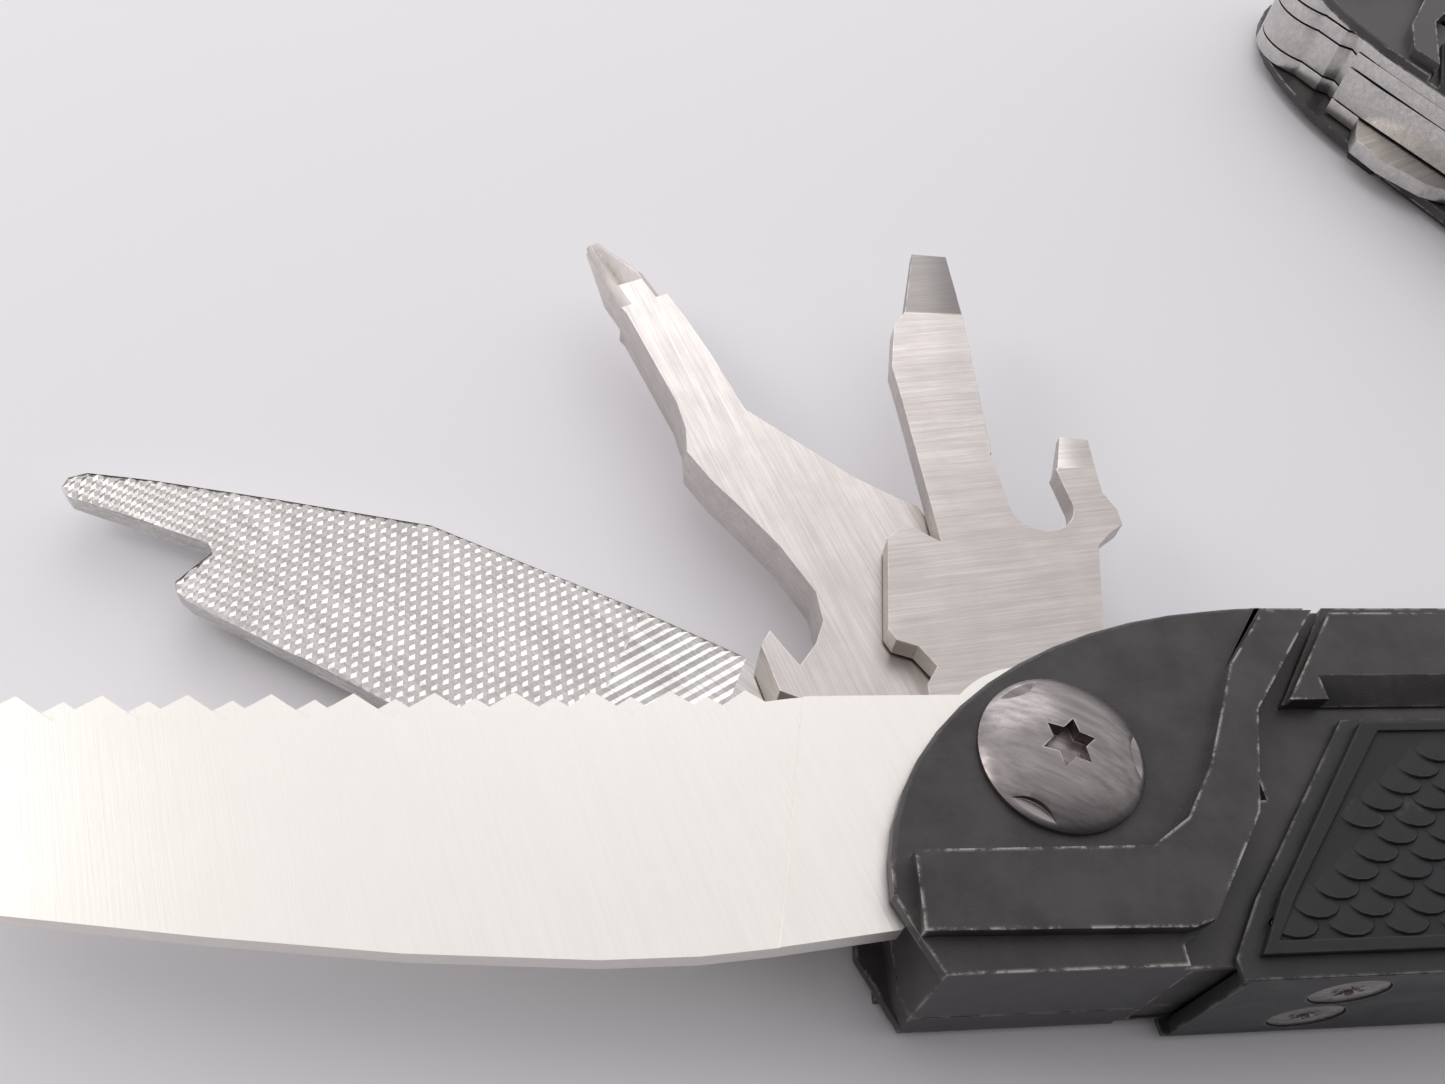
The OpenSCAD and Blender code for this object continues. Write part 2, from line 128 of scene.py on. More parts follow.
SKY_BRIGHT = (0.93, 0.91, 0.93, 1)
SKY_DIM = (0.03, 0.028, 0.03, 1)
SKY_STRENGTH = 0.98
BACK_SIZE = 0.36
BACK_WATTS = 0.5
world = bpy.data.worlds.new("studio")
world.use_nodes = True
sky = world.node_tree
direction = sky.nodes.new("ShaderNodeTexCoord")
facing = sky.nodes.new("ShaderNodeVectorMath")
facing.operation = "DOT_PRODUCT"
facing.inputs[1].default_value = (0.0, 0.75, 0.50)
sky.links.new(direction.outputs["Generated"], facing.inputs[0])
spread = sky.nodes.new("ShaderNodeMapRange")
spread.interpolation_type = "SMOOTHSTEP"
spread.inputs["From Min"].default_value = -0.30
spread.inputs["From Max"].default_value = 0.55
sky.links.new(facing.outputs["Value"], spread.inputs["Value"])
blend = sky.nodes.new("ShaderNodeMix")
blend.data_type = "RGBA"
blend.inputs[6].default_value = SKY_DIM
blend.inputs[7].default_value = SKY_BRIGHT
sky.links.new(spread.outputs["Result"], blend.inputs["Factor"])
sky.links.new(blend.outputs[2], sky.nodes["Background"].inputs["Color"])
sky.nodes["Background"].inputs["Strength"].default_value = SKY_STRENGTH
bpy.context.scene.world = world
soft_panel("back_panel", (0.0, 0.46, 0.24), (0, 0.12, 0), BACK_SIZE, BACK_WATTS)
soft_panel("left_panel", (-0.30, 0.10, 0.22), (-0.02, 0.02, 0), 0.14, 0.22, (1.0, 0.96, 0.92))
bpy.context.scene.view_settings.view_transform = "Standard"

# %% [markdown]
# ## Rounded edges on every piece
# Machined metal never ends in a perfectly sharp edge, and the thin bright line along a worn edge is what
# tells the eye its size. Each solid is copied, its flat faces are joined again, and every edge that
# really turns gets a small bevel. A bevel only cuts inwards, so the piece keeps its size. Joined faces
# have no normals until they are updated, and every test of an angle depends on them.

# %% Copies with real edges
SHARP = math.radians(24)
FLAT = math.radians(1.0)
HIDDEN_WELD = 2e-6
BROAD = 0.999


def piece_mesh(node):
    """A clean bmesh of a node: welded, with its flat faces joined."""
    bm = bmesh.new()
    bm.from_mesh(nodes[node].data)
    bmesh.ops.remove_doubles(bm, verts=bm.verts, dist=HIDDEN_WELD)
    bmesh.ops.dissolve_limit(bm, angle_limit=FLAT, verts=bm.verts, edges=bm.edges)
    bm.normal_update()
    return bm


def bevel_edges(bm, width, segments, sharp=SHARP):
    """Rounds every edge that turns by more than the sharp angle."""
    bm.normal_update()
    turning = [e for e in bm.edges if e.is_manifold and e.calc_face_angle(0) > sharp]
    bmesh.ops.bevel(bm, geom=turning, offset=width, offset_type="OFFSET", segments=segments,
                    profile=0.6, affect="EDGES", clamp_overlap=True)
    return len(turning)


# %% [markdown]
# Grinding lines follow the implement, whichever way it is folded. So each piece stores its own lengthwise
# and crosswise position, in millimetres, as an attribute that the materials read. Broad level faces are
# shaded flat: smooth shading would let the narrow bevels tilt their light.

# %% Directions along each piece
OPEN_ANGLE = {"saw": 180, "flat_driver": 90, "cross_driver": 116, "file": 157}
HANDLE_B_TURN = math.radians(-64)
JAW_TURN = math.radians(-30)
joint_of = {j["child"]: j for j in frame["joints"]}
pivot_b = Vector(joint_of["knife_blade"]["pos_m"])
pivot_jaws = Vector(joint_of["jaw_b"]["pos_m"])
IN_HANDLE_B = {"knife_blade", "serrated_blade", "chisel", "awl"}


def own_frame(node):
    """The matrix from the row's frame to the piece's own frame: X along it, Z through it."""
    if node in OPEN_ANGLE:
        return Matrix.Rotation(-math.radians(OPEN_ANGLE[node]), 4, "Z")
    if node.startswith("b_") or node in IN_HANDLE_B:
        mirror = Matrix.Scale(-1, 4, (0, 1, 0))
        turn = Matrix.Rotation(-HANDLE_B_TURN, 4, "Z")
        return mirror @ turn @ Matrix.Translation((-pivot_b.x, -pivot_b.y, 0))
    if node.startswith("jaw"):
        turn = Matrix.Rotation(-JAW_TURN, 4, "Z")
        return turn @ Matrix.Translation((-pivot_jaws.x, -pivot_jaws.y, 0))
    return Matrix.Identity(4)


def finish_piece(bm, node, name=None, smooth=True):
    """Turns a bmesh into the piece that stands for a node, with its own directions stored."""
    mesh = bpy.data.meshes.new(name or node + "_finished")
    bm.normal_update()
    bm.to_mesh(mesh)
    bm.free()
    if smooth:
        mesh.shade_smooth()
        mesh.set_sharp_from_angle(angle=math.radians(32))
        for face in mesh.polygons:
            if abs(face.normal.z) > BROAD:
                face.use_smooth = False
    local = own_frame(node)
    grain = mesh.attributes.new("grain", "FLOAT_VECTOR", "POINT")
    for vertex, value in zip(mesh.vertices, grain.data):
        value.vector = (local @ vertex.co) / MM
    piece = bpy.data.objects.new(mesh.name, mesh)
    bpy.context.scene.collection.objects.link(piece)
    mesh.materials.append(finish_of(node))
    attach(piece, body_of[node])
    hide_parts(node)
    return piece


# %% [markdown]
# ## Shared effects
# Three effects return on many materials: grinding lines, wear along edges, and dirt in corners. Each is
# one node group with named inputs, and each puts out a value that varies over the surface.

# %% Tools for node groups
def group_with(name, inputs, outputs):
    """A node group with named sockets. inputs and outputs map a name to a socket type and a default."""
    tree = bpy.data.node_groups.new(name, "ShaderNodeTree")
    for label, (kind, default) in inputs.items():
        socket = tree.interface.new_socket(label, in_out="INPUT", socket_type=kind)
        if default is not None:
            socket.default_value = default
    for label, kind in outputs.items():
        tree.interface.new_socket(label, in_out="OUTPUT", socket_type=kind)
    return tree, tree.nodes.new("NodeGroupInput"), tree.nodes.new("NodeGroupOutput")


def node_of(tree, kind, **settings):
    """A new node with its properties set."""
    node = tree.nodes.new(kind)
    for key, value in settings.items():
        setattr(node, key, value)
    return node


def put(tree, source, target):
    """Links a value, or sets it when it is plain."""
    if isinstance(source, bpy.types.NodeSocket):
        tree.links.new(source, target)
    else:
        target.default_value = source


def maths(tree, operation, a, b=0.0, clamp=False):
    """One Math node; a and b are sockets or numbers."""
    node = node_of(tree, "ShaderNodeMath", operation=operation, use_clamp=clamp)
    put(tree, a, node.inputs[0])
    put(tree, b, node.inputs[1])
    return node.outputs[0]


def noise(tree, vector, scale, detail=3.0, rough=0.55):
    """The value of a noise texture."""
    node = node_of(tree, "ShaderNodeTexNoise")
    put(tree, vector, node.inputs["Vector"])
    put(tree, scale, node.inputs["Scale"])
    node.inputs["Detail"].default_value = detail
    node.inputs["Roughness"].default_value = rough
    return node.outputs["Fac"]


def ramp(tree, value, low, high):
    """A smooth step from 0 at low to 1 at high."""
    node = node_of(tree, "ShaderNodeMapRange", interpolation_type="SMOOTHSTEP")
    put(tree, value, node.inputs["Value"])
    put(tree, low, node.inputs["From Min"])
    put(tree, high, node.inputs["From Max"])
    return node.outputs["Result"]


def mix(tree, mask, first, second):
    """A colour between first and second."""
    node = node_of(tree, "ShaderNodeMix", data_type="RGBA")
    put(tree, mask, node.inputs["Factor"])
    put(tree, first, node.inputs[6])
    put(tree, second, node.inputs[7])
    return node.outputs[2]


# %% [markdown]
# ### Grinding lines
# A ground face is covered with fine parallel scratches. The group turns a piece's own position to the
# grinding direction, stretches a noise along it, and adds large soft clouds for the uneven polish.

# %% Grinding lines
def stretched(tree, vector, angle, stretch):
    """The coordinates turned by an angle and squeezed along the lines, so that noise draws streaks."""
    turned = node_of(tree, "ShaderNodeVectorRotate", rotation_type="Z_AXIS")
    put(tree, vector, turned.inputs["Vector"])
    put(tree, angle, turned.inputs["Angle"])
    scaled = node_of(tree, "ShaderNodeVectorMath", operation="MULTIPLY")
    put(tree, turned.outputs[0], scaled.inputs[0])
    scaled.inputs[1].default_value = (stretch, 1.0, 1.0)
    return scaled.outputs[0]


lines, lines_in, lines_out = group_with(
    "grinding_lines",
    {"Position": ("NodeSocketVector", None), "Angle": ("NodeSocketFloat", 0.0),
     "Line density": ("NodeSocketFloat", 6.0)},
    {"Lines": "NodeSocketFloat", "Clouds": "NodeSocketFloat"})
fine = noise(lines, stretched(lines, lines_in.outputs["Position"], lines_in.outputs["Angle"], 0.02),
             lines_in.outputs["Line density"], 4.0, 0.7)
broad_density = maths(lines, "MULTIPLY", lines_in.outputs["Line density"], 0.22)
broad = noise(lines, stretched(lines, lines_in.outputs["Position"], lines_in.outputs["Angle"], 0.05),
              broad_density, 2.0)
both = maths(lines, "ADD", maths(lines, "MULTIPLY", fine, 0.7), maths(lines, "MULTIPLY", broad, 0.3))
lines.links.new(both, lines_out.inputs["Lines"])
clouds = noise(lines, lines_in.outputs["Position"], 0.35, 4.0)
lines.links.new(clouds, lines_out.inputs["Clouds"])

# %% [markdown]
# ### Edge wear
# An edge that is rubbed loses its coating first. The group finds the edges by comparing the true normal
# with a rounded one, keeps the outer ones only, and breaks the line up with a noise, so that it never
# looks drawn.

# %% Edge wear
wear, wear_in, wear_out = group_with(
    "edge_wear",
    {"Position": ("NodeSocketVector", None), "Width": ("NodeSocketFloat", 0.0004),
     "Amount": ("NodeSocketFloat", 0.5)},
    {"Worn": "NodeSocketFloat"})
softened = node_of(wear, "ShaderNodeBevel", samples=6)
wear.links.new(wear_in.outputs["Width"], softened.inputs["Radius"])
plain = node_of(wear, "ShaderNodeNewGeometry")
match = node_of(wear, "ShaderNodeVectorMath", operation="DOT_PRODUCT")
wear.links.new(softened.outputs["Normal"], match.inputs[0])
wear.links.new(plain.outputs["Normal"], match.inputs[1])
edge = maths(wear, "SUBTRACT", 1.0, match.outputs["Value"])
chips = noise(wear, wear_in.outputs["Position"], 0.55, 6.0, 0.72)
open_space = node_of(wear, "ShaderNodeAmbientOcclusion", samples=4)
open_space.inputs["Distance"].default_value = 0.0008
outer = ramp(wear, open_space.outputs["AO"], 0.72, 0.98)
raised = maths(wear, "MULTIPLY", ramp(wear, edge, 0.02, 0.12), outer)
broken = maths(wear, "MULTIPLY", raised, ramp(wear, chips, 0.44, 0.56))
wear.links.new(maths(wear, "MULTIPLY", broken, wear_in.outputs["Amount"], True), wear_out.inputs["Worn"])

# %% [markdown]
# ### Dirt in corners
# Dust and rust stay where a finger can't reach. Ambient occlusion within one piece finds those corners.

# %% Dirt in corners
dirt, dirt_in, dirt_out = group_with(
    "corner_dirt",
    {"Position": ("NodeSocketVector", None), "Reach": ("NodeSocketFloat", 0.0015)},
    {"Dirt": "NodeSocketFloat"})
corner = node_of(dirt, "ShaderNodeAmbientOcclusion", samples=4, only_local=True)
dirt.links.new(dirt_in.outputs["Reach"], corner.inputs["Distance"])
closed = maths(dirt, "SUBTRACT", 1.0, corner.outputs["AO"])
patches = noise(dirt, dirt_in.outputs["Position"], 0.9, 5.0, 0.65)
dirt.links.new(maths(dirt, "MULTIPLY", ramp(dirt, closed, 0.25, 0.7), ramp(dirt, patches, 0.40, 0.62)),
               dirt_out.inputs["Dirt"])
print("node groups:", [g.name for g in bpy.data.node_groups])


# %% [markdown]
# ## Materials
# The shader stays in each material and the groups feed it. Ground steel is fully metallic, and its lines
# change colour, roughness and height together. Paint is dark, wears to steel along its edges, and holds
# brown dust in its corners.

# %% Steel
def place_group(tree, group, position, **values):
    """A node group placed in a material, with its position and plain values set."""
    node = node_of(tree, "ShaderNodeGroup", node_tree=group)
    put(tree, position, node.inputs["Position"])
    for label, value in values.items():
        node.inputs[label.replace("_", " ")].default_value = value
    return node


def bump_to(tree, shader, height, depth):
    """Feeds a height to the shader's normal."""
    node = node_of(tree, "ShaderNodeBump")
    node.inputs["Distance"].default_value = depth
    node.inputs["Strength"].default_value = 0.6
    put(tree, height, node.inputs["Height"])
    tree.links.new(node.outputs["Normal"], shader.inputs["Normal"])


def grain_position(tree):
    """The piece's own position, in millimetres."""
    return node_of(tree, "ShaderNodeAttribute", attribute_name="grain").outputs["Vector"]


RUST = (0.13, 0.052, 0.022, 1)


RICASSO_SLOPE = -0.194


def steel(name, dark, light, rough, angle, density=6.0, depth=0.00002, rust=0.5, tip_from=None,
          painted_reflection_to=None):
    """Ground steel: streaks, clouds, bright edges, rust in the corners, and a painted reflection on the unground
    part.
    """
    material, shader = new_material(name)
    tree = material.node_tree
    position = grain_position(tree)
    streaks = place_group(tree, lines, position, Angle=math.radians(angle), Line_density=density)
    spread = ramp(tree, streaks.outputs["Lines"], 0.32, 0.68)
    colour = mix(tree, spread, dark + (1,), light + (1,))
    shade = ramp(tree, streaks.outputs["Clouds"], 0.25, 0.75)
    clouded = maths(tree, "MULTIPLY", shade, 0.22)
    colour = mix(tree, clouded, colour, tuple(c * 0.6 for c in dark) + (1,))
    if tip_from is not None:
        along = node_of(tree, "ShaderNodeSeparateXYZ")
        tree.links.new(position, along.inputs[0])
        tip = maths(tree, "MULTIPLY", ramp(tree, along.outputs["X"], tip_from, tip_from + 0.25), 0.72)
        colour = mix(tree, tip, colour, (0.13, 0.12, 0.12, 1))
    # Painted reflection: the unground part before the slanted grinding line is painted nearly white. This stands
    # in for the bright reflection it shows, on top of its real unground finish.
    if painted_reflection_to is not None:
        plan = node_of(tree, "ShaderNodeSeparateXYZ")
        tree.links.new(position, plan.inputs[0])
        slanted = maths(tree, "MULTIPLY", plan.outputs["Y"], RICASSO_SLOPE)
        line = maths(tree, "ADD", slanted, plan.outputs["X"], True)
        ground = ramp(tree, line, painted_reflection_to - 0.1, painted_reflection_to + 0.1)
        plain = maths(tree, "MULTIPLY", maths(tree, "SUBTRACT", 1.0, ground, True), 0.8)
        colour = mix(tree, plain, colour, (0.97, 0.95, 0.90, 1))
    edges = place_group(tree, wear, position, Width=0.0002, Amount=0.55)
    colour = mix(tree, edges.outputs["Worn"], colour, (0.86, 0.84, 0.82, 1))
    stains = place_group(tree, dirt, position, Reach=0.0014)
    stain = maths(tree, "MULTIPLY", stains.outputs["Dirt"], rust)
    colour = mix(tree, stain, colour, RUST)
    tree.links.new(colour, shader.inputs["Base Color"])
    tree.links.new(maths(tree, "SUBTRACT", 1.0, stain, True), shader.inputs["Metallic"])
    uneven = maths(tree, "MULTIPLY", spread, -0.10)
    rusty = maths(tree, "MULTIPLY", stain, 0.4)
    rougher = maths(tree, "ADD", maths(tree, "ADD", uneven, rough), rusty, True)
    tree.links.new(rougher, shader.inputs["Roughness"])
    bump_to(tree, shader, streaks.outputs["Lines"], depth)
    return material


# The saw's unground part carries the painted reflection.
saw_steel = steel("saw_steel", (0.42, 0.37, 0.34), (0.72, 0.65, 0.61), 0.42, 72, 7.0, rust=0.15,
                   painted_reflection_to=15.57)
driver_steel = steel("driver_steel", (0.56, 0.52, 0.50), (0.70, 0.66, 0.63), 0.42, 8, 9.0, rust=0.8)
flat_steel = steel("flat_driver_steel", (0.50, 0.46, 0.44), (0.64, 0.60, 0.57), 0.42, 82, 9.0,
                   rust=0.6, tip_from=41.3)
file_steel = steel("file_steel", (0.50, 0.48, 0.46), (0.76, 0.74, 0.72), 0.34, 20, 6.0, rust=0.1)
blade_steel = steel("blade_steel", (0.48, 0.46, 0.44), (0.72, 0.70, 0.68), 0.36, 90, 8.0, rust=0.5)
jaw_steel = steel("jaw_steel", (0.20, 0.19, 0.185), (0.36, 0.34, 0.33), 0.46, 0, 3.0, 0.00004, 0.3)
screw_steel = steel("screw_steel", (0.21, 0.19, 0.19), (0.38, 0.35, 0.345), 0.34, 30, 1.6, 0.00001, 0.6)
spring_steel = steel("spring_steel", (0.32, 0.31, 0.30), (0.50, 0.49, 0.48), 0.40, 0, 6.0)
bronze = steel("bronze", (0.42, 0.30, 0.14), (0.66, 0.50, 0.27), 0.40, 45, 5.0)


# %% [markdown]
# ### Paint
# The handles are cast and painted satin black. The coating is mottled, scuffed by fine scratches, and worn
# through to bare metal on the edges. Bare metal has to be metallic as well as pale.

# %% Paint
def paint(name, base, worn, rough=0.42):
    """Satin black coating: scuffed, worn to steel at its edges, with brown dust in its corners."""
    material, shader = new_material(name)
    tree = material.node_tree
    position = grain_position(tree)
    mottle = ramp(tree, noise(tree, position, 0.30, 5.0, 0.6), 0.30, 0.72)
    colour = mix(tree, mottle, base + (1,), tuple(c * 2.3 for c in base) + (1,))
    dust = place_group(tree, dirt, position, Reach=0.0016)
    dusty = maths(tree, "MULTIPLY", dust.outputs["Dirt"], 0.55)
    colour = mix(tree, dusty, colour, (0.055, 0.040, 0.028, 1))
    edges = place_group(tree, wear, position, Width=0.0004, Amount=worn)
    scuffs = place_group(tree, lines, position, Angle=0.5, Line_density=1.8)
    scratch = maths(tree, "MULTIPLY", ramp(tree, scuffs.outputs["Lines"], 0.66, 0.72), 0.35)
    bare = maths(tree, "MAXIMUM", edges.outputs["Worn"], scratch, True)
    colour = mix(tree, bare, colour, (0.50, 0.46, 0.43, 1))
    tree.links.new(colour, shader.inputs["Base Color"])
    tree.links.new(bare, shader.inputs["Metallic"])
    uneven = maths(tree, "MULTIPLY", mottle, 0.14)
    tree.links.new(maths(tree, "ADD", uneven, rough), shader.inputs["Roughness"])
    skin = maths(tree, "ADD", noise(tree, position, 9.0, 2.0), maths(tree, "MULTIPLY", bare, -0.8))
    bump_to(tree, shader, skin, 0.00003)
    return material


black_paint = paint("black_paint", (0.026, 0.0238, 0.0248), 0.95)
black_slider = paint("black_slider", (0.014, 0.0135, 0.0145), 0.45, 0.46)


# %% [markdown]
# ### Rubber
# Rubber has no metal under it, so it never brightens much: it only greys a little where it is rubbed. That grey on
# the scales' rims is partly dust and partly a painted highlight.

# %% Rubber
def rubber(name):
    """Moulded rubber: nearly black, matt, greyed where it rubs, with dust and a painted highlight."""
    material, shader = new_material(name)
    tree = material.node_tree
    position = grain_position(tree)
    bloom = ramp(tree, noise(tree, position, 0.8, 5.0, 0.65), 0.40, 0.75)
    colour = mix(tree, bloom, (0.009, 0.009, 0.0105, 1), (0.019, 0.0185, 0.021, 1))
    # Dust and painted highlight: the rubbed rims turn grey, and the grey also stands in for the sheen that light
    # puts on the scales.
    dust_and_sheen = place_group(tree, wear, position, Width=0.00025, Amount=0.35)
    colour = mix(tree, dust_and_sheen.outputs["Worn"], colour, (0.10, 0.098, 0.098, 1))
    tree.links.new(colour, shader.inputs["Base Color"])
    matt = maths(tree, "ADD", maths(tree, "MULTIPLY", bloom, 0.12), 0.60)
    tree.links.new(matt, shader.inputs["Roughness"])
    bump_to(tree, shader, noise(tree, position, 14.0, 3.0), 0.00004)
    return material


grip_rubber = rubber("grip_rubber")
BY_SLOT = {"black_paint": black_paint, "black_slider": black_slider, "grip_rubber": grip_rubber,
           "ground_steel": blade_steel, "file_steel": file_steel, "jaw_steel": jaw_steel,
           "screw_steel": screw_steel, "spring_steel": spring_steel, "bronze": bronze}
BY_NODE = {"saw": saw_steel, "flat_driver": flat_steel, "cross_driver": driver_steel}


def finish_of(node):
    """The material of a node: its own where it has one, or its slot's."""
    return BY_NODE.get(node, BY_SLOT[slot_of[node]])


print("materials:", len(bpy.data.materials))

# %% [markdown]
# ## Cutting
# A relief that a bevel can't make is cut with a tool, as on the bench: a closed prism is taken away from
# the piece with an exact boolean, which leaves clean edges for the bevel that follows. Prisms that touch
# each other can make a boolean lose the whole piece without a word, so every cut measures what it took and
# stops the script when that is nothing or too much. A thin grip loses the most, a little under a third.

# %% Prisms and cuts
def prism(bm, outline, low, high, to_row):
    """Adds a closed prism over an outline of millimetre points."""
    base = [bm.verts.new(to_row @ (Vector((x, y, low)) * MM)) for x, y in outline]
    top = [bm.verts.new(to_row @ (Vector((x, y, high)) * MM)) for x, y in outline]
    bm.faces.new(list(reversed(base)))
    bm.faces.new(top)
    for i in range(len(outline)):
        j = (i + 1) % len(outline)
        bm.faces.new((base[i], base[j], top[j], top[i]))


MOST_CUT = 0.4


def cut_away(bm, cutter):
    """The exact difference of two bmeshes, as a new bmesh. Stops if the piece is lost."""
    whole = abs(bm.calc_volume())
    holders = []
    for part, name in ((bm, "work"), (cutter, "cutter")):
        mesh = bpy.data.meshes.new(name)
        bmesh.ops.recalc_face_normals(part, faces=part.faces)
        part.to_mesh(mesh)
        part.free()
        holder = bpy.data.objects.new(name, mesh)
        bpy.context.scene.collection.objects.link(holder)
        holders.append(holder)
    work, tool = holders
    modifier = work.modifiers.new("cut", "BOOLEAN")
    modifier.operation = "DIFFERENCE"
    modifier.solver = "EXACT"
    modifier.object = tool
    result = bmesh.new()
    result.from_object(work, bpy.context.evaluated_depsgraph_get())
    for holder in holders:
        bpy.data.meshes.remove(holder.data)
    bmesh.ops.remove_doubles(result, verts=result.verts, dist=HIDDEN_WELD)
    share = 1 - abs(result.calc_volume()) / whole
    print("cut away", round(100 * share, 2), "percent of the piece")
    if not 0 < share < MOST_CUT:
        raise ValueError("a cut took nothing, or too much of a piece")
    return result


# %% [markdown]
# ## The plain pieces
# Shells, sliders, screws, jaws and the folded blades only need their edges. The width of the bevel is the
# one choice: wide on the cast and painted shells, narrow on ground steel.

# %% Bevelled pieces
BEVEL = {"black_paint": (0.34, 3), "black_slider": (0.16, 2), "screw_steel": (0.10, 2),
         "jaw_steel": (0.22, 2), "ground_steel": (0.13, 2), "spring_steel": (0.08, 1), "bronze": (0.02, 1)}
SPECIAL = {"saw", "file", "a_grip_upper", "a_grip_lower", "b_grip_upper", "b_grip_lower"}
NOSE_ROUND = 0.75
RAIL_CHAMFER = [(2.0, 14.5), (4.9, 14.5), (4.9, 13.2), (3.1, 12.05), (2.0, 12.05)]


def soften_nose(bm, node):
    """Rounds the panel's outer edge along the bolster's curved nose, on a shell."""
    to_own = own_frame(node)
    panel_z = 12.5 if "upper" in node else 1.0
    chosen = []
    for edge in bm.edges:
        ends = [(to_own @ v.co) / MM for v in edge.verts]
        level = all(abs(p.z - panel_z) < 0.01 for p in ends)
        outside = all(((p.x - 16) / 27.3) ** 2 + ((p.y + 8) / 18.4) ** 2 > 0.985 for p in ends)
        if level and outside and all(p.x < 13 and p.y > -7.9 for p in ends) and edge.is_manifold:
            chosen.append(edge)
    bmesh.ops.bevel(bm, geom=chosen, offset=NOSE_ROUND * MM, offset_type="OFFSET", segments=4,
                    profile=0.5, affect="EDGES", clamp_overlap=True)
    return len(chosen)


def chamfer_rail(bm, node):
    """Slopes the inner edge of the rail down towards the slider."""
    flip = (lambda z: z) if "upper" in node else (lambda z: 13.5 - z)
    to_row = own_frame(node).inverted()
    tool = bmesh.new()
    rings = []
    for x in (18.0, 63.8):
        rings.append([tool.verts.new(to_row @ (Vector((x, y, flip(z))) * MM)) for y, z in RAIL_CHAMFER])
    tool.faces.new(rings[0])
    tool.faces.new(list(reversed(rings[1])))
    for i in range(len(RAIL_CHAMFER)):
        j = (i + 1) % len(RAIL_CHAMFER)
        tool.faces.new((rings[0][i], rings[1][i], rings[1][j], rings[0][j]))
    cut = cut_away(bm, tool)
    bmesh.ops.dissolve_limit(cut, angle_limit=FLAT, verts=cut.verts, edges=cut.edges)
    return cut


edges_done = 0
for node in sorted(nodes):
    if node in SPECIAL:
        continue
    width, segments = BEVEL[slot_of[node]]
    bm = piece_mesh(node)
    if "shell" in node:
        bm = chamfer_rail(bm, node)
        print(node, "nose edges softened:", soften_nose(bm, node))
    edges_done += bevel_edges(bm, width * MM, segments)
    finish_piece(bm, node)
print("rounded", edges_done, "edges")

# %% [markdown]
# ## The saw
# A saw like this cuts on the pull with two rows of teeth, side by side through its thickness, each tooth
# of one row facing a gap of the other. The solid has both rows as one comb, so triangular prisms turn every
# other tooth into a gap, first in the lower row and then in the upper. The rows are cut one after the
# other, because their prisms would meet in the middle. A shallow step marks where the grinding stops.

# %% Saw
TOOTH_PITCH = 2.3
FIRST_TOOTH = 16.4
TEETH = 22
CREST_Y = -5.3
ROOT_Y = -3.7
SAW_LOW, SAW_HIGH = (c.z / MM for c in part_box("saw"))
SAW_MID = (SAW_LOW + SAW_HIGH) / 2
CREST_FLAT = 0.03
SAW_BEVEL = 0.07


def row_cutter(first, low, high):
    """The triangles that turn every other tooth of one row into a gap."""
    cutter = bmesh.new()
    half = TOOTH_PITCH - CREST_FLAT
    for i in range(first, TEETH - 1, 2):
        middle = FIRST_TOOTH + (i + 0.75) * TOOTH_PITCH
        gap = [(middle - half, CREST_Y), (middle - half, CREST_Y - 1),
               (middle + half, CREST_Y - 1), (middle + half, CREST_Y), (middle, ROOT_Y)]
        prism(cutter, gap, low, high, saw_row)
    return cutter


saw_row = own_frame("saw").inverted()
bm = cut_away(piece_mesh("saw"), row_cutter(0, SAW_LOW - 1, SAW_MID))
bm = cut_away(bm, row_cutter(1, SAW_MID, SAW_HIGH + 1))
STEP_DEPTH = 0.10
step = bmesh.new()
prism(step, [(14.4, -6), (80, -6), (80, 12), (17.9, 12)], SAW_HIGH - STEP_DEPTH, SAW_HIGH + 1, saw_row)
bm = cut_away(bm, step)
bmesh.ops.dissolve_limit(bm, angle_limit=FLAT, verts=bm.verts, edges=bm.edges)
bevel_edges(bm, SAW_BEVEL * MM, 1)
saw_piece = finish_piece(bm, "saw")
print("saw:", len(saw_piece.data.polygons), "faces")

# %% [markdown]
# ## The file
# A file is cut, not ground: two families of parallel grooves cross at a steep angle and leave rows of
# small pointed teeth. The blade is first split from its tang, so that its broad faces can be told apart.
# Those are sliced along every crest and every valley, and the points of a valley are pushed in. Near the
# pivot only one family runs, as on the real thing. The last lines check that the cuts are really there.

# %% File
CUT_DEPTH = 0.16
CUTS = [{"angle": 54, "pitch": 0.71, "from": 20.0}, {"angle": -63, "pitch": 0.74, "from": 28.0}]
FILE_END = 71.0
FEWEST_POINTS = 1000
FILE_BEVEL = 0.10


def groove_normal(cut):
    """The direction across a family of grooves, in the file's own plane."""
    angle = math.radians(cut["angle"])
    return Vector((-math.sin(angle), math.cos(angle), 0))


def valley_depth(point, cut):
    """1 in a valley, 0 on a crest, for a point in the file's own millimetres."""
    if point.x < cut["from"] or point.x > FILE_END:
        return 0.0
    across = point.dot(groove_normal(cut)) / cut["pitch"]
    return 1 - abs(2 * (across - math.floor(across)) - 1)


